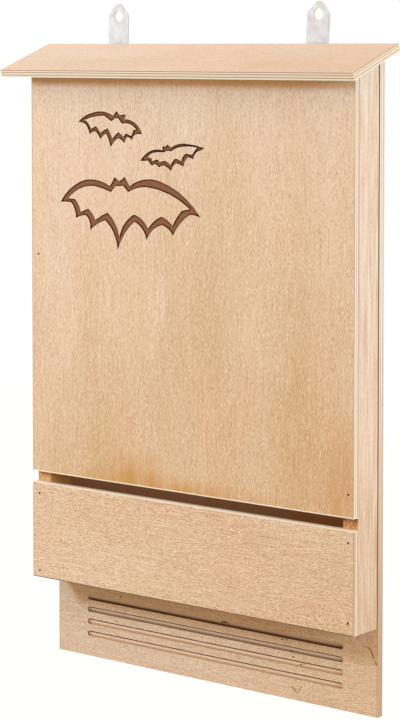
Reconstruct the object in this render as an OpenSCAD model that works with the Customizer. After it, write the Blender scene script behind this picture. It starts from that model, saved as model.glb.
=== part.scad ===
// Bat box of plywood: one narrow roost chamber, open at the bottom, with a sloping roof,
// a ventilation slot across the front, a grooved landing strip and two steel hanger plates.
// +X is right seen from the front, +Y points into the wall, +Z is up. The wall is the plane
// Y = 0, and the origin lies midway between the two hanging holes.

/* [Box] */
// Width of the front and back boards
body_w = 290; // [230:1:400]
// Height of the back panel, from its bottom edge to the roof
body_h = 450; // [320:1:700]
// Thickness of the roof, front and back boards
ply_t = 5.5; // [4:0.5:12]
// Thickness of the side walls
side_t = 12; // [8:0.5:20]
// Depth of the roost chamber, front to back
chamber_d = 23; // [18:0.5:40]
// How far the side walls stand in from the edges of the boards
side_inset = 0.5; // [0:0.1:2]

/* [Front] */
// Height of the lower front board
lower_h = 71; // [50:1:120]
// Height of the ventilation slot above it
slot_h = 8; // [5:0.5:15]
// Height of the landing strip that the back panel leaves below the front
landing_h = 61; // [50:1:120]

/* [Landing grooves] */
// Number of grooves
groove_count = 4; // [1:1:5]
// Distance from one groove to the next
groove_pitch = 9.1; // [6:0.1:10]
// Width of a groove
groove_w = 4; // [2:0.5:5]
// Depth of a groove
groove_depth = 2; // [1:0.5:2.5]
// Distance from the end of a groove to the edge of the back panel
groove_inset = 28.5; // [15:0.5:60]

/* [Roof] */
// Slope of the roof in degrees, falling to the front
roof_pitch = 20; // [10:1:35]
// How far the eaves stand out in front of the box
eaves_front = 18.5; // [5:0.5:50]
// How far the roof stands out at each side
eaves_side = 12; // [0:0.5:40]

/* [Hangers] */
// Distance between the two hanging holes
hanger_spacing = 180; // [80:1:190]
// Height of the hanging holes above the back edge of the roof
hole_rise = 20; // [14:0.5:40]
// Diameter of a hanging hole
hanger_hole_d = 8; // [4:0.5:10]
// Width of a hanger plate
hanger_w = 18.5; // [18:0.5:30]
// Thickness of a hanger plate
hanger_t = 1.2; // [0.8:0.1:2]
// Height of a plate's tip above its hanging hole
tip_rise = 9; // [8:0.5:14]
// Height of the point that closes each end of a plate
point_h = 8; // [4:0.5:10]
// Width of the blunt end of that point
point_w = 3.5; // [2:0.5:8]
// How far a plate reaches down behind the back panel
hanger_lap = 41; // [36:1:80]
// Lean of the left plate about its hole, in degrees to the right
left_lean = 1; // [-5:0.5:5]
// Lean of the right plate about its hole, in degrees to the right
right_lean = 4; // [-5:0.5:5]

/* [Hanger screws] */
// Diameter of a screw
screw_d = 3.2; // [2.5:0.1:4]
// Diameter of its countersunk head
screw_head_d = 6.4; // [5:0.1:8]
// Distance from the lower end of a plate to its lower screw
screw_end = 10; // [8:0.5:14]
// Distance between the two screws of a plate
screw_spacing = 18; // [10:0.5:20]

/* [Brads] */
// Diameter of a brad
brad_d = 1.2; // [1:0.1:2]
// Depth of a brad's head below the surface of the front and of the back
brad_sink = 0.5; // [0.2:0.1:1]
// How far a brad reaches into a side wall
brad_grip = 9; // [5:0.5:9]
// Distance from the left edge of the front to its left brads
left_brad_edge = 6.5; // [4:0.1:8]
// Distance from the right edge of the front to its right brads
right_brad_edge = 4.7; // [4:0.1:8]
// Distance from the ends of the upper front panel to its outer brads
upper_brad_end = 16; // [10:0.5:30]
// Height of the middle brads above the bottom edge of that panel
upper_brad_mid = 161; // [60:1:250]
// Distance from the long edges of the lower front board to its brads
lower_brad_end = 8.5; // [5:0.5:15]
// The same for its lower left brad, which sits closer to the edge
low_left_brad_end = 5; // [4:0.5:15]
// Distance from the ends of a side wall to the outer brads of the back
back_brad_end = 32; // [25:1:50]

/* [Bat figures] */
// Width of the group of three bats
bats_w = 134.4; // [60:0.1:160]
// Distance from the left edge of the panel to the group
bats_left = 28.4; // [20:0.1:50]
// Distance from the top edge of the panel to the group
bats_top = 30.3; // [20:0.1:50]
// Depth of the burnt lines
bat_depth = 0.6; // [0.3:0.1:1]

/* [Hidden] */
$fn = 24;
cut = 1; // overrun of a cutting tool past the face that it opens

// Planes from the wall forward
y_rear = -hanger_t;
y_back = y_rear - ply_t;
y_inner = y_back - chamber_d;
y_face = y_inner - ply_t;

// Underside of the roof over any depth
z_eaves = -hole_rise - ply_t * cos(roof_pitch);
function roof_z(y) = z_eaves + (y - y_rear) * tan(roof_pitch);

// Levels of the front, from the bottom up
z_bottom = z_eaves - body_h;
z_low = z_bottom + landing_h;
z_slot = z_low + lower_h;
z_upper = z_slot + slot_h;

wall_x = body_w / 2 - side_inset - side_t; // inner face of the right side wall
wall_mid_x = wall_x + side_t / 2; // its middle, where the brads of the back and roof sit

// An outline is a list of corners, anticlockwise, each with the bulge k of the arc that starts
// there: the height of the arc over its chord, positive towards the inside of the outline.
// A bulge of 0 is a straight line.
function arc_points(a, b, k) =
    let (
        half = 2 * atan(2 * k),
        r = norm(b - a) / 2 / sin(half),
        left = [a.y - b.y, b.x - a.x] / norm(b - a),
        along = [left.y, -left.x],
        middle = (a + b) / 2 - r * cos(half) * left,
        steps = ceil(abs(half) / 4)
    )
    [
        for (i = [0:steps - 1])
            let (turn = half * (2 * i / steps - 1))
            middle + r * (sin(turn) * along + cos(turn) * left)
    ];

function corner(outline, i) = [for (j = [0, 1]) outline[i % len(outline)][j]];
function outline_points(outline) = [
    for (i = [0:len(outline) - 1])
        let (a = corner(outline, i), k = outline[i].z)
        each k == 0 ? [a] : arc_points(a, corner(outline, i + 1), k)
];

// Outer and inner edge of the burnt line of each bat, from the left wing tip along the scallops,
// the right wing tip and the head. Places are measured from the top left corner of the group.
bats_drawn_w = 133.6; // width of the group as drawn here
large_bat = [
    [[0, -66.6, 0.02], [10, -66.4, 0.12], [14.9, -77.6, 0.05], [24.1, -75.2, 0.18],
     [28.2, -86.1, 0.06], [42.9, -78.1, 0.11], [54.6, -99, 0.08], [70.2, -77.9, 0.13],
     [81.4, -90.5, 0.13], [95.7, -79.1, 0.1], [105.4, -86, 0.07], [120.2, -70.9, 0.07],
     [130.3, -72.6, -0.08], [94.8, -48.9, -0.11], [65.8, -52.9, 0], [61.2, -46.5, 0],
     [56.4, -49.9, 0], [51.9, -46.9, 0], [47.4, -53.6, -0.08], [24.1, -49.8, -0.09]],
    [[7.7, -63.6, -0.04], [13.5, -63.9, 0.1], [19.5, -73.3, 0.03], [26.8, -70.6, 0.07],
     [33.5, -78.3, 0.03], [45.2, -72.5, 0.09], [56.1, -89.2, 0.11], [69.8, -72.8, 0.1],
     [82.8, -82.1, 0.07], [94.8, -73.2, 0.07], [105, -79.1, 0.04], [113.4, -68.3, 0],
     [120.6, -66.8, -0.07], [81.4, -53, -0.06], [64.4, -57.1, 0], [59.9, -52.9, 0],
     [52.6, -53.4, 0], [48.3, -57.8, -0.02], [33.8, -54.1, -0.11]],
];
left_bat = [
    [[17.2, -8.6, 0.08], [24.5, -10.1, 0.08], [28.2, -17.2, 0.08], [33.4, -14.8, 0.11],
     [38.1, -20.6, 0.06], [43.9, -16.2, 0.04], [48.1, -26, 0.08], [55.5, -19.3, 0.06],
     [61.2, -22.7, 0.08], [63.8, -18, 0.06], [68.2, -20.3, 0.16], [72.8, -15.9, -0.03],
     [77.4, -15.7, -0.16], [61.3, -5.8, 0], [62.1, -2.3, 0], [56.8, -3, 0], [53.6, 0, 0],
     [50.6, -3.5, -0.1], [31.1, -1.7, -0.07]],
    [[23.8, -6.9, 0.09], [29.6, -13.2, 0.01], [34.4, -11.2, 0.03], [38.6, -16, 0.04],
     [45.4, -12.5, 0.04], [49.8, -19.7, 0.02], [55.3, -14.9, 0.02], [60, -18.2, 0.01],
     [62.7, -15.6, -0.06], [67.5, -17.2, -0.04], [69.2, -13.3, 0], [72, -12.8, -0.14],
     [58.7, -9, 0], [55.7, -5.6, 0], [53.4, -4.9, 0], [48.7, -7.4, 0.01],
     [42.2, -3.6, -0.05]],
];
right_bat = [
    [[75.7, -34.6, -0.03], [82.8, -34.3, 0.03], [86.4, -38.1, 0.08], [89.1, -36.5, 0.09],
     [92.6, -38.8, 0.03], [97.1, -37.2, 0.04], [104, -40.9, 0.11], [108.4, -35.4, 0.04],
     [115, -37.7, 0.12], [119.3, -30.9, 0.02], [123.8, -32.2, 0.16], [128.6, -26.4, -0.02],
     [133.6, -24.3, -0.03], [115.7, -21.5, -0.07], [103.7, -24.7, 0], [100.6, -22.5, 0],
     [98.2, -24.4, 0], [96.2, -23.5, 0], [95.9, -26.7, -0.06], [85.7, -27.2, -0.07]],
    [[82.8, -32.1, 0], [86.1, -32.6, -0.05], [86.9, -34.6, 0.01], [90.9, -33.3, 0.16],
     [93.3, -35.5, 0.07], [98.4, -34.1, 0.07], [103.3, -37, 0.07], [107.4, -32.3, 0.08],
     [112.8, -34, 0.1], [117.1, -28.4, 0.01], [122.7, -29.2, 0.05], [127.2, -24.1, -0.04],
     [115.7, -23.7, -0.07], [103.7, -27.4, 0], [101.2, -26.8, 0], [99.5, -27.2, 0],
     [97.1, -28.2, -0.04], [89.4, -28.5, -0.13]],
];

module bat_line(bat) {
    difference() {
        polygon(outline_points(bat[0]));
        polygon(outline_points(bat[1]));
    }
}

module burnt_bats() {
    translate([-body_w / 2 + bats_left, y_face + bat_depth, roof_z(y_face) - bats_top])
        rotate([90, 0, 0])
            linear_extrude(bat_depth + cut)
                scale(bats_w / bats_drawn_w)
                    for (bat = [large_bat, left_bat, right_bat]) bat_line(bat);
}

// Board from x0 to x0 + w with a profile drawn in depth and height
module board(x0, w, profile) {
    translate([x0, 0, 0]) rotate([90, 0, 90]) linear_extrude(w) polygon(profile);
}

// Upright board whose top edge is cut to the slope of the roof
module upright(x0, w, y_near, y_far, z_foot) {
    board(x0, w, [
        [y_near, z_foot], [y_far, z_foot], [y_far, roof_z(y_far)], [y_near, roof_z(y_near)],
    ]);
}

// Brad driven along +Z from the surface, and the hole that it fills and leaves open above it
module brad(sink = brad_sink) {
    translate([0, 0, sink]) cylinder(h = ply_t + brad_grip - sink, d = brad_d);
}

module brad_hole() {
    translate([0, 0, -cut]) cylinder(h = ply_t + brad_grip + cut, d = brad_d);
}

// Levels of the brads in the left and in the right side wall
upper_brad_row = [
    z_upper + upper_brad_end, z_upper + upper_brad_mid, roof_z(y_face) - upper_brad_end,
];
upper_brad_rows = [upper_brad_row, upper_brad_row];
lower_brad_rows = [
    [z_low + low_left_brad_end, z_slot - lower_brad_end],
    [z_low + lower_brad_end, z_slot - lower_brad_end],
];
back_brad_row = [
    z_low + back_brad_end, (z_low + roof_z(y_back)) / 2, roof_z(y_back) - back_brad_end,
];
roof_brad_places = [y_back - chamber_d / 4, y_back - chamber_d * 3 / 4];

module at_front(rows) {
    columns = [left_brad_edge - body_w / 2, body_w / 2 - right_brad_edge];
    for (i = [0, 1], z = rows[i])
        translate([columns[i], y_face, z]) rotate([-90, 0, 0]) children();
}

module at_back() {
    for (side = [-1, 1], z = back_brad_row)
        translate([side * wall_mid_x, y_rear, z]) rotate([90, 0, 0]) children();
}

module at_roof() {
    for (side = [-1, 1], y = roof_brad_places)
        translate([
            side * wall_mid_x, y - ply_t * sin(roof_pitch), roof_z(y) + ply_t * cos(roof_pitch),
        ])
            rotate([180 + roof_pitch, 0, 0]) children();
}

// Hanger plate with its hanging hole at the origin and its rear face on the wall plane
lap_foot = hole_rise + ply_t * cos(roof_pitch) + hanger_lap; // its lower end below the hole
screw_clear = 0.5; // wood left between a screw's tip and the roost chamber
screw_len = hanger_t + ply_t - screw_clear;
screw_head_h = (screw_head_d - screw_d) / 2;
screw_tip_h = 1.5;
screw_tip_d = screw_d / 4;
recess_w = 0.8;
recess_l = 0.55 * screw_head_d; // length of each arm of the cross recess

module at_screws() {
    for (rise = [0, screw_spacing])
        translate([0, 0, -lap_foot + screw_end + rise]) rotate([90, 0, 0]) children();
}

module screw_blank() {
    cylinder(h = screw_head_h, d1 = screw_head_d, d2 = screw_d);
    cylinder(h = screw_len - screw_tip_h, d = screw_d);
    translate([0, 0, screw_len - screw_tip_h])
        cylinder(h = screw_tip_h, d1 = screw_d, d2 = screw_tip_d);
}

module screw() {
    difference() {
        screw_blank();
        for (turn = [0, 90])
            rotate(turn) cube([recess_l, recess_w, screw_head_h], center = true);
    }
}

module hanger() {
    half = hanger_w / 2;
    blunt = point_w / 2;
    difference() {
        rotate([90, 0, 0]) linear_extrude(hanger_t) polygon([
            [-half, tip_rise - point_h], [-half, point_h - lap_foot], [-blunt, -lap_foot],
            [blunt, -lap_foot], [half, point_h - lap_foot], [half, tip_rise - point_h],
            [blunt, tip_rise], [-blunt, tip_rise],
        ]);
        rotate([90, 0, 0]) translate([0, 0, -cut])
            cylinder(h = hanger_t + 2 * cut, d = hanger_hole_d);
        at_screws() screw_blank();
    }
}

module at_left_hanger() {
    translate([-hanger_spacing / 2, 0, 0]) rotate([0, left_lean, 0]) children();
}

module at_right_hanger() {
    translate([hanger_spacing / 2, 0, 0]) rotate([0, right_lean, 0]) children();
}

// Groove along X with round ends, centred on the face of the back panel
module groove() {
    reach = body_w / 2 - groove_inset - groove_w / 2;
    translate([0, y_back + groove_depth, 0]) rotate([90, 0, 0])
        linear_extrude(groove_depth + cut) {
            square([2 * reach, groove_w], center = true);
            for (side = [-1, 1]) translate([side * reach, 0]) circle(d = groove_w);
        }
}

module back_panel() {
    color("burlywood") difference() {
        upright(-body_w / 2, body_w, y_back, y_rear, z_bottom);
        for (i = [0:groove_count - 1])
            translate([0, 0, z_bottom + landing_h / 2 + (i - (groove_count - 1) / 2) * groove_pitch])
                groove();
        at_back() brad_hole();
        at_left_hanger() at_screws() screw_blank();
        at_right_hanger() at_screws() screw_blank();
    }
}

module side_wall(x0) {
    color("burlywood") difference() {
        upright(x0, side_t, y_inner, y_back, z_low);
        at_front(upper_brad_rows) brad_hole();
        at_front(lower_brad_rows) brad_hole();
        at_back() brad_hole();
        at_roof() brad_hole();
    }
}

module left_side_wall() {
    side_wall(-wall_x - side_t);
}

module right_side_wall() {
    side_wall(wall_x);
}

module upper_front_panel() {
    color("burlywood") difference() {
        upright(-body_w / 2, body_w, y_face, y_inner, z_upper);
        burnt_bats();
        at_front(upper_brad_rows) brad_hole();
    }
}

module lower_front_board() {
    color("burlywood") difference() {
        translate([-body_w / 2, y_face, z_low]) cube([body_w, ply_t, lower_h]);
        at_front(lower_brad_rows) brad_hole();
    }
}

module roof_board() {
    roof_w = body_w + 2 * eaves_side;
    y_eaves = y_face - eaves_front;
    thick = ply_t * [-sin(roof_pitch), cos(roof_pitch)];
    near = [y_eaves, roof_z(y_eaves)];
    far = [y_rear, z_eaves];
    color("wheat") difference() {
        board(-roof_w / 2, roof_w, [near, far, far + thick, near + thick]);
        at_roof() brad_hole();
    }
}

module left_hanger() {
    color("silver") at_left_hanger() hanger();
}

module right_hanger() {
    color("silver") at_right_hanger() hanger();
}

module hanger_screws() {
    color("silver") {
        at_left_hanger() at_screws() screw();
        at_right_hanger() at_screws() screw();
    }
}

module upper_front_brads() {
    color("dimgray") at_front(upper_brad_rows) brad();
}

module lower_front_brads() {
    color("dimgray") at_front(lower_brad_rows) brad();
}

module back_brads() {
    color("dimgray") at_back() brad();
}

// The brads of the roof are driven flush, so that no hole holds water
module roof_brads() {
    color("dimgray") at_roof() brad(sink = 0);
}

back_panel();
left_side_wall();
right_side_wall();
upper_front_panel();
lower_front_board();
roof_board();
left_hanger();
right_hanger();
hanger_screws();
upper_front_brads();
lower_front_brads();
back_brads();
roof_brads();
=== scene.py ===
"""Looks of a plywood bat box: wood grain, ply edges, burnt bat figures, zinc and brads.

Everything is in metres in the part's own frame: +X right seen from the front, +Y into the
wall, +Z up. Sizes in millimetres are multiplied by MM. A span is a pair: where a change
starts, and where it is full.
"""
import math

import bpy
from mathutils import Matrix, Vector


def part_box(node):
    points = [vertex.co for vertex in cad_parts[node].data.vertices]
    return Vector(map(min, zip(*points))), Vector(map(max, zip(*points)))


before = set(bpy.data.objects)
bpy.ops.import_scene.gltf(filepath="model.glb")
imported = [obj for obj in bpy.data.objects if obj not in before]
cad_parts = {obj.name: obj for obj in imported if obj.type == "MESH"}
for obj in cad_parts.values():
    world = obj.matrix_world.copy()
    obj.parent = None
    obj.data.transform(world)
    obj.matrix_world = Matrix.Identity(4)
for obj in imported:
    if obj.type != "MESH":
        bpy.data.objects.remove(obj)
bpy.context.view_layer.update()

MM = 0.001

# Camera
LENS = 117.01  # mm on a 36 mm sensor along the picture's long side
CAMERA_PLACE = (1.0314, -1.2967, -0.0222)
CAMERA_YAW, CAMERA_TILT = 38.891, 3.261  # degrees to the left of +Y, and down
CAMERA_SHIFT_Y = -0.25
CAMERA_REACH = 100.0  # how far it sees

# Studio. A strength of 1 lights a white surface that faces the lamp to full white.
AMBIENT = 0.6
AMBIENT_COLOUR = (1.43, 1.0, 0.52, 1.0)
LAMP_COLOUR = (0.65, 1.0, 1.5)
KEY_LAMP = {"place": (-0.68, -0.75, 0.175), "aim": (0.0, -0.03, -0.25),
            "size": 0.2, "strength": 0.475}
SIDE_LAMP = {"azimuth": 75, "height": 10, "strength": 0.54, "spread": 20}
LEFT_LAMP = {"azimuth": -110, "height": 10, "strength": 0.29, "spread": 20}
BACK_LAMP = {"azimuth": 180, "height": 5, "strength": 0.47, "spread": 20}
WHITE = (1.0, 1.0, 1.0, 1.0)

# Floor: its grey for the light that it sends back, and its shade and glow where it is seen
FLOOR_Z = -4.2
FLOOR_REACH = 20.0
FLOOR_GREY = (0.3, 0.3, 0.3, 1.0)
FLOOR_SHADE = (0.15, 0.15, 0.15, 1.0)
FLOOR_GLOW = 0.9

# Planes of the part
front_low, front_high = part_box("upper_front_panel")
board_low, board_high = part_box("lower_front_board")
back_low, back_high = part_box("back_panel")
wall_low, wall_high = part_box("right_side_wall")
roof_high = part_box("roof_board")[1]
Y_FACE = front_low[1]
Y_BACK = back_low[1]
Y_REAR = back_high[1]
PLY = front_high[1] - front_low[1]
ROOF_PITCH = math.radians(20)
EPSILON = 0.05 * MM

# Colour sockets of Blender's Mix node: the two that go in, and the one that comes out
MIX_FIRST, MIX_SECOND, MIX_RESULT = 6, 7, 2

# Spread of a wood's tones about their mean, and what its patches add, in levels of 255
TONE_SPREAD = Vector((7, 10, 15))
PATCH_TINT = Vector((5, -2, 0))


def srgb(red, green, blue):
    """Shader colour of an sRGB colour given as 0 to 255."""
    def linear(value):
        value /= 255
        return value / 12.92 if value <= 0.04045 else ((value + 0.055) / 1.055) ** 2.4
    return (linear(red), linear(green), linear(blue), 1.0)


def tones(red, green, blue):
    """Tones of wood of a mean colour: the ends of its slow change, and the patches over them."""
    mean = Vector((red, green, blue))
    return srgb(*(mean - TONE_SPREAD)), srgb(*(mean + TONE_SPREAD)), srgb(*(mean + PATCH_TINT))


# Tones of the boards. Where there are two sets, the board changes from the first to the second.
UPPER_TONES = tones(243, 210, 171), tones(229, 189, 140)
LOWER_TONES = tones(233, 194, 149)
BACK_TONES = tones(222, 188, 147), tones(236, 200, 157)
WALL_TONES = tones(245, 219, 188), tones(224, 187, 145)
ROOF_TONES = tones(229, 209, 189)

# Fibres
DARK_FIBRE = srgb(186, 142, 98)
LIGHT_FIBRE = srgb(255, 236, 208)
WALL_FIBRE = srgb(212, 168, 130)

# Layers of the ply where it is cut
OUTER_PLY = srgb(255, 238, 208)
CORE_PLY = srgb(250, 228, 194)
GLUE_LINE = srgb(176, 126, 78)
INNER_PLY = srgb(226, 196, 162)
# lighter copies of the outer ply and core for the eaves' edges: painted light, as the front edge
# faces down, away from the lamps
LIT_EAVE_PLY = srgb(255, 247, 222)
LIT_EAVE_CORE = srgb(255, 229, 190)
BACK_CORE = srgb(252, 236, 212)
BACK_INNER = srgb(246, 224, 196)
BOARD_RIM = srgb(220, 188, 150)
WORN_EDGE = srgb(190, 146, 98)

# Arrises, the painted highlight on arrises by the slot, and painted shade for seams, insides and
# the walls' end grain
ARRIS = srgb(190, 146, 98)
# painted highlight for the arrises by the slot
ARRIS_HIGHLIGHT = srgb(255, 236, 204)
# painted shade, for the seam at the back panel, the lower board's bottom arris and the slot's
# end grain
PAINTED_SHADE = srgb(88, 56, 24)
# painted shade for the faces inside the box, and a golden one for the side walls
INSIDE_SHADE = srgb(216, 168, 126)
INSIDE_WALL_SHADE = srgb(222, 150, 64)
# the walls' end grain, and its darker golden painted shade, which the right wall gets most
END_GRAIN_AND_SHADE = srgb(220, 172, 120), srgb(176, 108, 6)

# Burnt figures, grooves and marks, with painted bounce light below the eaves
BURNT_FLOOR = srgb(150, 100, 68)
BURNT_RIM = srgb(44, 14, 0)
GROOVE_SHADE = srgb(82, 38, 4)
GROOVE_FLOOR = srgb(255, 226, 190)
GROOVE_LIP = srgb(208, 163, 120)
KNOT = srgb(92, 46, 14)
CRACK = srgb(158, 108, 62)
STAIN = srgb(211, 153, 78)
# painted warm bounce light for the shade below the eaves
EAVE_BOUNCE_LIGHT = srgb(255, 206, 136)

# Metal and filler
ZINC = srgb(212, 201, 187), srgb(220, 209, 195)
ZINC_CLOUD = srgb(209, 198, 185)
# steel of the brads, also painted round them as the shade of their holes
BRAD_STEEL = srgb(40, 12, 2)
BRAD_SCALE = srgb(22, 11, 5)
FILLER = srgb(244, 208, 168)
ROOF_FILLER = srgb(237, 208, 180)

# Cells of the grain's noises, in mm along the grain and across it
DRIFT_CELL = 70, 26
BROAD_CELL = 200, 55
PATCH_CELL = 90, 24
LINE_CELL = 45, 0.42
FIBRE_WIDTH = 0.34
FILLER_CELL = 3, 0.6
PATCH_OFFSET = (3.1, 1.7, 5.3)  # keeps the patches apart from the broad change

# Cells of the other noises, in mm on each axis
STAIN_CELL = (6, 6, 40)
MOTTLE_CELL = (1.2, 1.0, 3.0)
ZINC_CELL = (5, 5, 5)
SCALE_CELL = (0.6, 0.6, 0.6)
SPANGLE = 4.0

# Parts of the noises, which go from 0 to 1, over which a change goes on, and its strength
BROAD_PART = 0.34, 0.66
PATCH_PART = 0.45, 0.66
PATCH_STRENGTH = 0.6
DARK_PART = 0.5, 0.25
LIGHT_PART = 0.5, 0.75
RELIEF_PART = 0.2, 0.8
FILLER_STRENGTH = 0.5
STAIN_PART = 0.3, 0.6
STAIN_STRENGTH = 0.3, 0.9
MOTTLE_PART = 0.35, 0.65
ZINC_PART = 0.35, 0.7
ZINC_STRENGTH = 0.4
ZINC_SHEEN_PART = 0.3, 0.7

# Surfaces: roughness at both ends of the relief or all over, gloss, and relief in mm
WOOD_ROUGHNESS = 0.78, 0.62
WOOD_GLOSS = 0.3
WOOD_RELIEF = 0.05
ZINC_ROUGHNESS = 0.74, 0.84
ZINC_RELIEF = 0.04
FILLER_ROUGHNESS = 0.7
BRAD_ROUGHNESS = 0.8
BRAD_RELIEF = 0.03
USUAL_GLOSS = 0.5

# Layers of a board, in mm below its face: rim, outer ply, glue, core, glue and inner ply
PLY_LAYERS = ((0.10, 0.45), (0.60, 1.45), (1.55, 1.85),
              (2.0, 3.70), (3.85, 4.15), (4.30, PLY / MM))

# Spans on the boards, in mm. UPPER_FALL and BACK_WEAR are heights, and the others are counted
# from an edge of a board.
UPPER_FALL = -60, -300
BACK_WEAR = -200, -440
BACK_WEAR_STRENGTH = 0.8
WALL_FALL = 180, 20
# painted warm bounce light below the eaves: its span down from the panel's top, and its strength
EAVE_BOUNCE_SPAN = -16, -8
EAVE_BOUNCE_STRENGTH = 0.45
ARRIS_SPAN = -0.9, -0.5
ARRIS_STRENGTH = 0.6
# painted shadow line along the lower board's bottom arris
LOW_SHADOW_SPAN = 0.7, 0.5
LOW_SHADOW_STRENGTH = 0.9
HIGHLIGHT_ABOVE_SLOT = 1.0, 0.7
HIGHLIGHT_BELOW_SLOT = -1.0, -0.7
HIGHLIGHT_DEPTH = 3.5  # how far in the painted highlight below the slot goes
REAR_SEAM_SHADE = 0.75  # width of the painted shade in the seam along a side wall's rear edge

# Side walls' front edges in the slot: painted shade near its top, and strengths on the left and
# right of it and of the mottled painted shade on the end grain
SLOT_SHADE_SPAN = -4, -1
SLOT_SHADE_STRENGTH = 0.2, 0.6
MOTTLE_SHADE_STRENGTH = 0.4, 1.0

# Burnt figures, in mm: the depth down to which they count as burnt, how far they reach from the
# middle, and how near their sides darken their floors
BURNT_DEPTH = 0.7
FIGURES_REACH = 130
SCORCH_REACH = 2.4
SCORCH_PART = 0.84, 0.95  # openness of the darkest and of the palest places
OPENNESS_SAMPLES = 16

# Brads that show, in mm, and the painted shade of their holes, in the steel's colour
UPPER_BRADS = ((-138.5, -174.2), (140.3, -319.2))
LOWER_BRADS = ((-138.5, -351.7), (140.3, -351.7), (-138.5, -409.2), (140.3, -405.7))
BRAD_SHADE_SIZE = 1.8
BRAD_SHADE_CORE = 0.8  # the share of it that is fully dark
BRAD_REACH = 20  # on the upper front panel no other brad lies as near to one of them

# Golden stains of the upper front panel, in mm: middle, width and height, with their strengths
STAINS = ((-46, -330, 84, 46, 1.0), (134, -322, 50, 130, 0.65), (-10, -334, 240, 22, 1.0))
STAIN_CORE = 0.1  # the share of a stain that is fully coloured

# Knots and cracks of the landing strip, in mm: middle, width, height, and turn in degrees down
# to the right
KNOTS = (
    (12.0, -430.3, 5.4, 2.8, 0), (9.4, -431.2, 3.4, 1.5, -35), (14.8, -431.0, 2.8, 1.4, 40),
    (64.4, -434.2, 2.8, 1.8, 0), (67.8, -433.6, 2.4, 1.4, 0), (71.1, -441.6, 2.4, 1.6, 0),
    (73.9, -445.0, 3.0, 2.0, 0), (79.1, -450.0, 2.4, 1.8, 0), (81.8, -449.2, 1.8, 1.4, 0),
    (-84.0, -426.4, 2.6, 1.6, 0), (-87.9, -445.2, 2.2, 1.8, 0),
)
CRACKS = (
    (137.8, -428.6, 6.0, 1.8, 25), (140.6, -432.6, 9.5, 2.2, 66), (143.6, -438.2, 6.0, 1.8, 50),
    (75.2, -467.8, 8.0, 1.8, 40), (79.9, -466.6, 9.5, 1.2, -59),
)
MARK_CORE = 0.4  # the share of a mark that is fully dark
MARK_STRENGTH = 0.85

# Grooves of the landing strip, in mm
GROOVES_MIDDLE_Z = -444.67
GROOVE_PITCH = 9.1
GROOVE_DEPTH = 2.0
GROOVE_REACH = 114.5  # from the middle to the centre of each round end
GROOVE_PALENESS = 0.7
SHADED_GROOVES_Z = (-434.0, 0.4), (-443.0, 0.5)  # heights, and how much painted shade is added above each

# Spans in a groove, in mm: up from its middle, below the face, and from a round end's centre
LIP_SPAN = -0.4, -1.4
SHADOW_LINE_SPAN = 0.65, 0.85
GROOVE_SHADE_SPAN = 1.0, -1.6
END_SHADOW_DEPTH_SPAN = 1.5, 1.1
END_SHADOW_RADIUS_SPAN = 1.6, 1.85

# How strongly a groove gets painted shade, and the strength of its painted shadow line at both
# ends of that
GROOVE_SHADE_PART = 0.4, 0.9
SHADOW_LINE_STRENGTH = 1.0, 0.3


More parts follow.
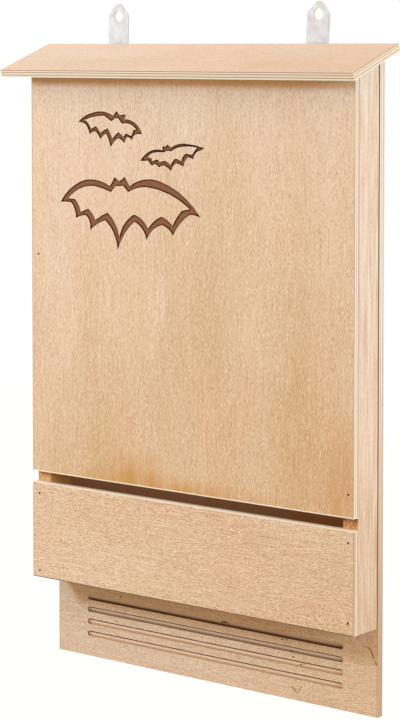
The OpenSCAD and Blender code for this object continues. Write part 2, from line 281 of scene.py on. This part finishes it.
class Shading:
    """A material's node tree, with one short call for each kind of node."""

    def __init__(self, name):
        self.material = bpy.data.materials.new(name)
        self.material.use_nodes = True
        self.nodes = self.material.node_tree.nodes
        self.shader = self.nodes["Principled BSDF"]
        self.place = self.nodes.new("ShaderNodeTexCoord").outputs["Object"]
        axes = self.nodes.new("ShaderNodeSeparateXYZ")
        self.feed(axes.inputs[0], self.place)
        self.x, self.y, self.z = axes.outputs

    def feed(self, socket, value):
        """Links a socket to another, or sets it where the value is the same all over."""
        if isinstance(value, bpy.types.NodeSocket):
            self.material.node_tree.links.new(value, socket)
        else:
            socket.default_value = value

    def math(self, operation, *values):
        node = self.nodes.new("ShaderNodeMath")
        node.operation = operation
        for socket, value in zip(node.inputs, values):
            self.feed(socket, value)
        return node.outputs[0]

    def vector(self, operation, first, second):
        node = self.nodes.new("ShaderNodeVectorMath")
        node.operation = operation
        self.feed(node.inputs[0], first)
        self.feed(node.inputs[1], second)
        return node.outputs["Vector"]

    def length(self, vector):
        node = self.nodes.new("ShaderNodeVectorMath")
        node.operation = "LENGTH"
        self.feed(node.inputs[0], vector)
        return node.outputs["Value"]

    def noise(self, place, size, detail=2.0, colour=False):
        """Noise whose cells are size long on each axis, in mm."""
        node = self.nodes.new("ShaderNodeTexNoise")
        shrunk = self.vector("MULTIPLY", place, [1 / (MM * s) for s in size])
        self.feed(node.inputs["Vector"], shrunk)
        node.inputs["Scale"].default_value = 1.0
        node.inputs["Detail"].default_value = detail
        return node.outputs["Color" if colour else "Fac"]

    def ranged(self, value, low, high, to_low=0.0, to_high=1.0):
        """value carried from low..high to to_low..to_high, and held there outside."""
        node = self.nodes.new("ShaderNodeMapRange")
        for socket, v in zip(node.inputs, (value, low, high, to_low, to_high)):
            self.feed(socket, v)
        return node.outputs[0]

    def fade(self, place, span, strength=1.0, origin=0.0):
        """0 at the start of a span in mm from the origin, and strength where it is full."""
        start, full = span
        return self.ranged(place, origin + start * MM, origin + full * MM, 0.0, strength)

    def between(self, value, low, high):
        """1 where the value lies between low and high, else 0."""
        return self.math("MULTIPLY",
                         self.math("GREATER_THAN", value, low),
                         self.math("LESS_THAN", value, high))

    def mix(self, factor, first, second):
        node = self.nodes.new("ShaderNodeMix")
        node.data_type = "RGBA"
        self.feed(node.inputs["Factor"], factor)
        self.feed(node.inputs[MIX_FIRST], first)
        self.feed(node.inputs[MIX_SECOND], second)
        return node.outputs[MIX_RESULT]

    def ramp(self, value, stops):
        """Colours at the given values from 0 to 1."""
        node = self.nodes.new("ShaderNodeValToRGB")
        elements = node.color_ramp.elements
        while len(elements) < len(stops):
            elements.new(1.0)
        for element, (position, colour) in zip(elements, stops):
            element.position = position
            element.color = colour
        self.feed(node.inputs[0], value)
        return node.outputs[0]

    def bump(self, height, depth):
        """Relief of the given depth where height goes from 0 to 1."""
        node = self.nodes.new("ShaderNodeBump")
        node.inputs["Distance"].default_value = depth
        self.feed(node.inputs["Height"], height)
        self.feed(self.shader.inputs["Normal"], node.outputs[0])

    def finish(self, colour, roughness, relief, depth, gloss=USUAL_GLOSS, metallic=0.0):
        """The material with this colour and relief. depth is the relief's, in mm."""
        self.feed(self.shader.inputs["Base Color"], colour)
        self.feed(self.shader.inputs["Roughness"], roughness)
        self.feed(self.shader.inputs["Specular IOR Level"], gloss)
        self.feed(self.shader.inputs["Metallic"], metallic)
        self.bump(relief, depth * MM)
        return self.material


def along(grain, length, width):
    """Cell of a noise that is length long along the grain and width wide across it."""
    return [length if axis == grain else width for axis in "xyz"]


def sanded_wood(t, grain, palette, contrast, fibre_length,
                line_share=0.35, dark=DARK_FIBRE, waver=9):
    """Colour and relief of a sanded face whose grain runs along an axis.

    line_share is the part of the long lines in the fibres, and waver their sway in mm.
    """
    low, high, warm = palette
    drift = t.noise(t.place, along(grain, *DRIFT_CELL), 1, colour=True)
    drift = t.vector("SUBTRACT", drift, (0.5, 0.5, 0.5))
    drift = t.vector("MULTIPLY", drift, [s * MM for s in along(grain, 0, waver)])
    place = t.vector("ADD", t.place, drift)
    broad = t.noise(place, along(grain, *BROAD_CELL))
    patches = t.noise(t.vector("ADD", place, PATCH_OFFSET), along(grain, *PATCH_CELL), 1)
    lines = t.noise(place, along(grain, *LINE_CELL), 1)
    fibre = t.noise(place, along(grain, fibre_length, FIBRE_WIDTH), 1)
    fibre = t.math("ADD", t.math("MULTIPLY", lines, line_share),
                   t.math("MULTIPLY", fibre, 1 - line_share))
    colour = t.mix(t.ranged(broad, *BROAD_PART), low, high)
    colour = t.mix(t.ranged(patches, *PATCH_PART, 0.0, PATCH_STRENGTH), colour, warm)
    colour = t.mix(t.ranged(fibre, *DARK_PART, 0.0, contrast), colour, dark)
    colour = t.mix(t.ranged(fibre, *LIGHT_PART, 0.0, contrast), colour, LIGHT_FIBRE)
    return colour, fibre


def ply_layers(t, depth, rim=OUTER_PLY, outer=OUTER_PLY, core=CORE_PLY, inner=INNER_PLY):
    """Colours of the layers of a board where it is cut. depth is the distance below its face."""
    stops = []
    for layer, colour in zip(PLY_LAYERS, (rim, outer, GLUE_LINE, core, GLUE_LINE, inner)):
        stops += [(edge * MM / PLY, colour) for edge in layer]
    return t.ramp(t.math("DIVIDE", depth, PLY), stops)


def at_rim(t, low, high):
    """1 on the faces that bound a box on the left, right, below and above, else 0."""
    masks = []
    for place, axis in ((t.x, 0), (t.z, 2)):
        middle, half = (low[axis] + high[axis]) / 2, (high[axis] - low[axis]) / 2
        reach = t.math("ABSOLUTE", t.math("SUBTRACT", place, middle))
        masks.append(t.math("GREATER_THAN", reach, half - EPSILON))
    return t.math("MAXIMUM", *masks)


def blemish(t, x, z, width, height, turn=0.0, core=MARK_CORE):
    """1 over the core of an oval mark on an upright face, fading to 0 at its rim."""
    node = t.nodes.new("ShaderNodeMapping")
    node.vector_type = "TEXTURE"
    node.inputs["Location"].default_value = (x * MM, Y_FACE, z * MM)
    node.inputs["Rotation"].default_value = (0.0, math.radians(turn), 0.0)
    node.inputs["Scale"].default_value = (width * MM / 2, 1.0, height * MM / 2)
    t.feed(node.inputs["Vector"], t.place)
    return t.ranged(t.length(node.outputs[0]), 1.0, core)


def edge_lines(t, colour, half_width):
    """Darkens the arrises at both ends of a board."""
    arris = t.fade(t.math("ABSOLUTE", t.x), ARRIS_SPAN, ARRIS_STRENGTH, origin=half_width)
    return t.mix(arris, colour, ARRIS)


def brad_hole_shade(t, places):
    """1 round the brads that show, where their holes' painted shade goes."""
    hole_shade = 0.0
    for x, z in places:
        one_hole_shade = blemish(t, x, z, BRAD_SHADE_SIZE, BRAD_SHADE_SIZE, core=BRAD_SHADE_CORE)
        hole_shade = t.math("MAXIMUM", hole_shade, one_hole_shade)
    return hole_shade


def blended(t, factor, first, second):
    """Tones that change from the first set to the second with the factor."""
    return [t.mix(factor, a, b) for a, b in zip(first, second)]


def openness(t, distance):
    """1 where nothing stands within the distance, falling towards 0 in corners."""
    node = t.nodes.new("ShaderNodeAmbientOcclusion")
    node.samples = OPENNESS_SAMPLES
    node.inputs["Distance"].default_value = distance
    return node.outputs["AO"]


def finish_wood(t, colour, relief, matt=0.0):
    """Wood with this colour and relief, without gloss where matt is 1."""
    roughness = t.ranged(relief, *RELIEF_PART, *WOOD_ROUGHNESS)
    gloss = t.ranged(matt, 0.0, 1.0, WOOD_GLOSS, 0.0)
    return t.finish(colour, roughness, relief, WOOD_RELIEF, gloss)


def upper_front_wood():
    """Upright grain, with stains, painted warm bounce light in the shade below the eaves, and
    the burnt figures.
    """
    t = Shading("upper_front_wood")
    palette = blended(t, t.fade(t.z, UPPER_FALL), *UPPER_TONES)
    colour, relief = sanded_wood(t, "z", palette, contrast=0.95, fibre_length=2.2)
    depth = t.math("SUBTRACT", t.y, Y_FACE)
    cloud = t.ranged(t.noise(t.place, STAIN_CELL), *STAIN_PART, *STAIN_STRENGTH)
    for x, z, width, height, strength in STAINS:
        stain = t.math("MULTIPLY", blemish(t, x, z, width, height, core=STAIN_CORE), cloud)
        colour = t.mix(t.math("MULTIPLY", stain, strength), colour, STAIN)
    # painted warm bounce light in the shade below the eaves
    glow = t.fade(t.z, EAVE_BOUNCE_SPAN, EAVE_BOUNCE_STRENGTH, origin=front_high[2])
    colour = edge_lines(t, t.mix(glow, colour, EAVE_BOUNCE_LIGHT), front_high[0])
    colour = t.mix(at_rim(t, front_low, front_high), colour, ply_layers(t, depth))
    # painted highlight along the lower arris above the slot
    slot_highlight = t.fade(t.z, HIGHLIGHT_ABOVE_SLOT, origin=front_low[2])
    colour = t.mix(slot_highlight, colour, ARRIS_HIGHLIGHT)
    in_figures = t.math("LESS_THAN", t.math("ABSOLUTE", t.x), FIGURES_REACH * MM)
    burnt = t.math("MULTIPLY", t.between(depth, EPSILON, BURNT_DEPTH * MM), in_figures)
    free = t.ranged(openness(t, SCORCH_REACH * MM), *SCORCH_PART)
    colour = t.mix(burnt, colour, t.mix(free, BURNT_RIM, BURNT_FLOOR))
    # painted shade of the brads' holes, in the steel's colour
    hole_shade = brad_hole_shade(t, UPPER_BRADS)
    colour = t.mix(hole_shade, colour, BRAD_STEEL)
    # painted shade on the panel's inner face
    inner = t.math("GREATER_THAN", depth, PLY - EPSILON)
    colour = t.mix(inner, colour, INSIDE_SHADE)
    return finish_wood(t, colour, relief, t.math("MAXIMUM", burnt, hole_shade))


def lower_front_wood():
    """Level grain, with a painted highlight on the upper edge and a painted shadow line on the
    lower arris.
    """
    t = Shading("lower_front_wood")
    colour, relief = sanded_wood(t, "x", LOWER_TONES, contrast=1.3, fibre_length=2.0)
    depth = t.math("SUBTRACT", t.y, Y_FACE)
    colour = edge_lines(t, colour, board_high[0])
    # painted shadow line along the board's bottom arris
    low_shadow = t.fade(t.z, LOW_SHADOW_SPAN, LOW_SHADOW_STRENGTH, origin=board_low[2])
    colour = t.mix(low_shadow, colour, PAINTED_SHADE)
    layers = ply_layers(t, depth, rim=BOARD_RIM, outer=BOARD_RIM)
    colour = t.mix(at_rim(t, board_low, board_high), colour, layers)
    # painted highlight along the upper arris below the slot
    slot_highlight = t.math("MULTIPLY",
                  t.fade(t.z, HIGHLIGHT_BELOW_SLOT, origin=board_high[2]),
                  t.math("LESS_THAN", depth, HIGHLIGHT_DEPTH * MM))
    colour = t.mix(slot_highlight, colour, ARRIS_HIGHLIGHT)
    # painted shade of the brads' holes, in the steel's colour
    hole_shade = brad_hole_shade(t, LOWER_BRADS)
    colour = t.mix(hole_shade, colour, BRAD_STEEL)
    # painted shade on the board's inner face
    inner = t.math("GREATER_THAN", depth, PLY - EPSILON)
    return finish_wood(t, t.mix(inner, colour, INSIDE_SHADE), relief, hole_shade)


def groove_colour(t, depth, colour):
    """Colours the grooves: pale floors, painted shadow along the upper corners and at the ends,
    and brown lower lips.

    The two top grooves, in the lower board's shadow, get painted shade towards their lower
    corners too.
    """
    in_groove = t.between(depth, EPSILON, GROOVE_DEPTH * MM + EPSILON)
    rise = t.math("SUBTRACT", t.z, (GROOVES_MIDDLE_Z - 2 * GROOVE_PITCH) * MM)
    above = t.math("MODULO", rise, GROOVE_PITCH * MM)
    above = t.math("SUBTRACT", above, GROOVE_PITCH * MM / 2)
    beyond = t.math("SUBTRACT", t.math("ABSOLUTE", t.x), GROOVE_REACH * MM)
    beyond = t.math("MAXIMUM", beyond, 0.0)
    radius = t.math("ADD", t.math("POWER", above, 2), t.math("POWER", beyond, 2))
    radius = t.math("SQRT", radius)
    floor = t.mix(GROOVE_PALENESS, colour, GROOVE_FLOOR)
    floor = t.mix(t.fade(above, LIP_SPAN), floor, GROOVE_LIP)
    at_end = t.math("GREATER_THAN", beyond, 0.0)
    # painted shadow of the round ends' walls, a thin dark arc near the face
    rim = t.math("MULTIPLY", at_end, t.fade(depth, END_SHADOW_DEPTH_SPAN))
    rim = t.math("MULTIPLY", rim, t.fade(radius, END_SHADOW_RADIUS_SPAN))
    # painted shadow line along each groove's upper corner, joined with the one at its ends
    shadow_line = t.math("MAXIMUM", t.fade(above, SHADOW_LINE_SPAN), rim)
    # painted shade on the two top grooves, which lie in the lower board's shadow
    groove_shade_share = 0.0
    for z, strength in SHADED_GROOVES_Z:
        higher = t.math("GREATER_THAN", t.z, z * MM)
        groove_shade_share = t.math("ADD", groove_shade_share, t.math("MULTIPLY", higher, strength))
    shadow_line = t.math("MULTIPLY", shadow_line, t.ranged(groove_shade_share, *GROOVE_SHADE_PART, *SHADOW_LINE_STRENGTH))
    floor = t.mix(shadow_line, floor, GROOVE_SHADE)
    # painted shade towards the lower corner of those grooves
    low = t.math("MULTIPLY", groove_shade_share, t.fade(above, GROOVE_SHADE_SPAN))
    return t.mix(in_groove, colour, t.mix(low, floor, GROOVE_SHADE))


def back_wood():
    """Level grain, with the grooves and their painted shade, the knots and cracks of the landing
    strip, and painted shade on the face inside the box.
    """
    t = Shading("back_wood")
    across = t.ranged(t.x, back_low[0], back_high[0])
    palette = blended(t, across, *BACK_TONES)
    colour, relief = sanded_wood(t, "x", palette, contrast=1.1, fibre_length=2.0)
    depth = t.math("SUBTRACT", t.y, Y_BACK)
    colour = groove_colour(t, depth, edge_lines(t, colour, back_high[0]))
    in_front = t.math("LESS_THAN", depth, PLY / 2)
    for marks, mark_colour in ((KNOTS, KNOT), (CRACKS, CRACK)):
        for x, z, width, height, turn in marks:
            mark = t.math("MULTIPLY", blemish(t, x, z, width, height, turn), MARK_STRENGTH)
            colour = t.mix(t.math("MULTIPLY", mark, in_front), colour, mark_colour)
    layers = ply_layers(t, depth, core=BACK_CORE, inner=BACK_INNER)
    layers = t.mix(t.fade(t.z, BACK_WEAR, BACK_WEAR_STRENGTH), layers, WORN_EDGE)
    colour = t.mix(at_rim(t, back_low, back_high), colour, layers)
    # painted shade on the back panel's face inside the box
    shaded_chamber = t.math("MULTIPLY",
                     t.math("LESS_THAN", depth, EPSILON),
                     t.math("GREATER_THAN", t.z, board_low[2]))
    return finish_wood(t, t.mix(shaded_chamber, colour, INSIDE_SHADE), relief)


def wall_wood():
    """Upright grain, with mottled painted shade on the end grain in the slot, painted shade in
    the seam at the back panel, and painted shade on the inner face.
    """
    t = Shading("wall_wood")
    palette = blended(t, t.fade(t.z, WALL_FALL, origin=wall_low[2]), *WALL_TONES)
    colour, relief = sanded_wood(t, "z", palette, contrast=1.5, fibre_length=2.4,
                                 line_share=0.7, dark=WALL_FIBRE, waver=2)
    right = t.math("GREATER_THAN", t.x, 0.0)
    # mottled painted shade on the end grain, strongest on the right wall
    mottled_shade = t.math("MULTIPLY",
                    t.ranged(t.noise(t.place, MOTTLE_CELL), *MOTTLE_PART),
                    t.ranged(right, 0.0, 1.0, *MOTTLE_SHADE_STRENGTH))
    # painted shade below the upper panel, near the slot's top
    shade = t.math("MULTIPLY",
                   t.fade(t.z, SLOT_SHADE_SPAN, origin=front_low[2]),
                   t.ranged(right, 0.0, 1.0, *SLOT_SHADE_STRENGTH))
    shaded_end_grain = t.mix(shade, t.mix(mottled_shade, *END_GRAIN_AND_SHADE), PAINTED_SHADE)
    front = t.math("LESS_THAN", t.y, wall_low[1] + EPSILON)
    colour = t.mix(front, colour, shaded_end_grain)
    # painted shade in the seam at the back panel
    seam_shade = t.math("GREATER_THAN", t.y, wall_high[1] - REAR_SEAM_SHADE * MM)
    colour = t.mix(seam_shade, colour, PAINTED_SHADE)
    # painted shade on the wall's inner face
    inner = t.math("LESS_THAN", t.math("ABSOLUTE", t.x), wall_low[0] + EPSILON)
    return finish_wood(t, t.mix(inner, colour, INSIDE_WALL_SHADE), relief)


def roof_wood():
    """Level grain, with the ply's layers on the edges of the sloping board, painted lighter on
    the front and back edges as painted light.
    """
    t = Shading("roof_wood")
    colour, relief = sanded_wood(t, "x", ROOF_TONES, contrast=0.6, fibre_length=1.8)
    cosine, sine = math.cos(ROOF_PITCH), math.sin(ROOF_PITCH)
    top = roof_high[2] * cosine - (Y_REAR - PLY * sine) * sine
    height = t.math("SUBTRACT", t.math("MULTIPLY", t.z, cosine), t.math("MULTIPLY", t.y, sine))
    depth = t.math("SUBTRACT", top, height)
    # the top rim of each edge is drawn as a dark line, in the glue lines' colour
    sides = ply_layers(t, depth, rim=GLUE_LINE, inner=OUTER_PLY)
    # painted light: lighter layers on the front and back edges
    front = ply_layers(t, depth, rim=GLUE_LINE, outer=LIT_EAVE_PLY, core=LIT_EAVE_CORE, inner=LIT_EAVE_PLY)
    at_side = t.math("GREATER_THAN", t.math("ABSOLUTE", t.x), roof_high[0] - EPSILON)
    edge = t.between(depth, EPSILON, PLY - EPSILON)
    return finish_wood(t, t.mix(edge, colour, t.mix(at_side, front, sides)), relief)


def zinc():
    """Galvanised steel with a faint spangle."""
    t = Shading("zinc")
    spangle = t.nodes.new("ShaderNodeTexVoronoi")
    shrunk = t.vector("MULTIPLY", t.place, [1 / (SPANGLE * MM)] * 3)
    t.feed(spangle.inputs["Vector"], shrunk)
    spangle.inputs["Scale"].default_value = 1.0
    cloud = t.noise(t.place, ZINC_CELL, 3)
    colour = t.mix(spangle.outputs["Color"], *ZINC)
    colour = t.mix(t.ranged(cloud, *ZINC_PART, 0.0, ZINC_STRENGTH), colour, ZINC_CLOUD)
    roughness = t.ranged(cloud, *ZINC_SHEEN_PART, *ZINC_ROUGHNESS)
    return t.finish(colour, roughness, cloud, ZINC_RELIEF, metallic=1.0)


def brad_steel():
    """Dark brown steel with scale, without gloss."""
    t = Shading("brad_steel")
    scale = t.noise(t.place, SCALE_CELL)
    colour = t.mix(scale, BRAD_SCALE, BRAD_STEEL)
    return t.finish(colour, BRAD_ROUGHNESS, scale, BRAD_RELIEF, gloss=0.0)


def filler(t, colour):
    """Colour and relief of the filler over a brad."""
    grain = t.noise(t.place, along("z", *FILLER_CELL))
    fibre = t.ranged(grain, *RELIEF_PART, 0.0, FILLER_STRENGTH)
    return t.mix(fibre, colour, DARK_FIBRE), grain


def filled_brads():
    """Brads of the upper front panel: two show as steel, and the rest are filled over."""
    t = Shading("filled_brads")
    colour, relief = filler(t, FILLER)
    bare = 0.0
    for x, z in UPPER_BRADS:
        near = t.math("MULTIPLY",
                      t.math("COMPARE", t.x, x * MM, BRAD_REACH * MM),
                      t.math("COMPARE", t.z, z * MM, BRAD_REACH * MM))
        bare = t.math("MAXIMUM", bare, near)
    colour = t.mix(bare, colour, BRAD_STEEL)
    return t.finish(colour, FILLER_ROUGHNESS, relief, BRAD_RELIEF)


def roof_filler():
    """Brads of the roof, all filled over."""
    t = Shading("roof_filler")
    colour, relief = filler(t, ROOF_FILLER)
    return t.finish(colour, FILLER_ROUGHNESS, relief, BRAD_RELIEF)


def dress(material, *nodes):
    """Puts a material on every slot of the named nodes."""
    for name in nodes:
        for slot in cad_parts[name].material_slots:
            slot.material = material


def add_object(name, data):
    """A new object of the scene that shows the data."""
    item = bpy.data.objects.new(name, data)
    bpy.context.collection.objects.link(item)
    return item


def add_camera():
    camera = add_object("camera", bpy.data.cameras.new("camera"))
    camera.data.lens = LENS
    camera.data.shift_y = CAMERA_SHIFT_Y
    camera.data.clip_end = CAMERA_REACH
    camera.location = CAMERA_PLACE
    camera.rotation_euler = (math.radians(90 - CAMERA_TILT), 0.0, math.radians(CAMERA_YAW))
    bpy.context.scene.camera = camera


def add_far_lamp(name, azimuth, height, strength, spread):
    """Soft light from a direction: azimuth to the right of the front, height over level."""
    lamp = add_object(name, bpy.data.lights.new(name, "SUN"))
    lamp.data.energy = strength * math.pi
    lamp.data.color = LAMP_COLOUR
    lamp.data.angle = math.radians(spread)
    lamp.rotation_euler = (math.radians(90 - height), 0.0, math.radians(azimuth))


def add_near_lamp(name, place, aim, size, strength):
    """Round lamp close to the box. Its light weakens slowly, by 1 / distance."""
    lamp = add_object(name, bpy.data.lights.new(name, "AREA"))
    lamp.data.shape = "DISK"
    lamp.data.size = size
    lamp.data.energy = strength * math.pi ** 2
    lamp.data.color = LAMP_COLOUR
    ray = Vector(aim) - Vector(place)
    lamp.location = place
    lamp.rotation_euler = ray.to_track_quat("-Z", "Y").to_euler()
    lamp.data.use_nodes = True
    nodes, links = lamp.data.node_tree.nodes, lamp.data.node_tree.links
    falloff = nodes.new("ShaderNodeLightFalloff")
    falloff.inputs["Strength"].default_value = ray.length
    links.new(falloff.outputs["Linear"], nodes["Emission"].inputs["Strength"])


def seen_directly(nodes, links):
    """1 for rays from the camera, reflections and refractions, 0 for light on surfaces."""
    path = nodes.new("ShaderNodeLightPath")
    value = path.outputs["Is Camera Ray"]
    for name in ("Is Glossy Ray", "Is Transmission Ray"):
        join = nodes.new("ShaderNodeMath")
        join.operation = "MAXIMUM"
        links.new(value, join.inputs[0])
        links.new(path.outputs[name], join.inputs[1])
        value = join.outputs[0]
    return value


def add_world():
    """White where it is seen, and a warm and weaker light on surfaces."""
    world = bpy.data.worlds.new("studio")
    world.use_nodes = True
    bpy.context.scene.world = world
    nodes, links = world.node_tree.nodes, world.node_tree.links
    direct = seen_directly(nodes, links)
    strength = nodes.new("ShaderNodeMapRange")
    strength.inputs["To Min"].default_value = AMBIENT
    strength.inputs["To Max"].default_value = 1.0
    links.new(direct, strength.inputs["Value"])
    links.new(strength.outputs[0], nodes["Background"].inputs["Strength"])
    tint = nodes.new("ShaderNodeMix")
    tint.data_type = "RGBA"
    tint.inputs[MIX_FIRST].default_value = AMBIENT_COLOUR
    tint.inputs[MIX_SECOND].default_value = WHITE
    links.new(direct, tint.inputs["Factor"])
    links.new(tint.outputs[MIX_RESULT], nodes["Background"].inputs["Color"])


def floor_material():
    """Nearly white where it is seen, and grey for the light that it sends back."""
    material = bpy.data.materials.new("floor")
    material.use_nodes = True
    nodes, links = material.node_tree.nodes, material.node_tree.links
    nodes.remove(nodes["Principled BSDF"])
    grey = nodes.new("ShaderNodeBsdfDiffuse")
    grey.inputs["Color"].default_value = FLOOR_GREY
    shade = nodes.new("ShaderNodeBsdfDiffuse")
    shade.inputs["Color"].default_value = FLOOR_SHADE
    glow = nodes.new("ShaderNodeEmission")
    glow.inputs["Strength"].default_value = FLOOR_GLOW
    shown = nodes.new("ShaderNodeAddShader")
    links.new(shade.outputs[0], shown.inputs[0])
    links.new(glow.outputs[0], shown.inputs[1])
    choice = nodes.new("ShaderNodeMixShader")
    links.new(seen_directly(nodes, links), choice.inputs[0])
    links.new(grey.outputs[0], choice.inputs[1])
    links.new(shown.outputs[0], choice.inputs[2])
    links.new(choice.outputs[0], nodes["Material Output"].inputs["Surface"])
    return material


def add_floor():
    mesh = bpy.data.meshes.new("floor")
    corners = ((-1, -1), (1, -1), (1, 1), (-1, 1))
    mesh.from_pydata([(x * FLOOR_REACH, y * FLOOR_REACH, FLOOR_Z) for x, y in corners],
                     [], [(0, 1, 2, 3)])
    floor = add_object("floor", mesh)
    mesh.materials.append(floor_material())


bpy.context.scene.view_settings.view_transform = "Standard"
add_camera()
add_world()
add_floor()
add_near_lamp("key_lamp", **KEY_LAMP)
add_far_lamp("side_lamp", **SIDE_LAMP)
add_far_lamp("left_lamp", **LEFT_LAMP)
add_far_lamp("back_lamp", **BACK_LAMP)

dress(upper_front_wood(), "upper_front_panel")
dress(lower_front_wood(), "lower_front_board")
dress(back_wood(), "back_panel")
dress(wall_wood(), "left_side_wall", "right_side_wall")
dress(roof_wood(), "roof_board")
dress(zinc(), "left_hanger", "right_hanger", "hanger_screws")
dress(brad_steel(), "lower_front_brads", "back_brads")
dress(filled_brads(), "upper_front_brads")
dress(roof_filler(), "roof_brads")
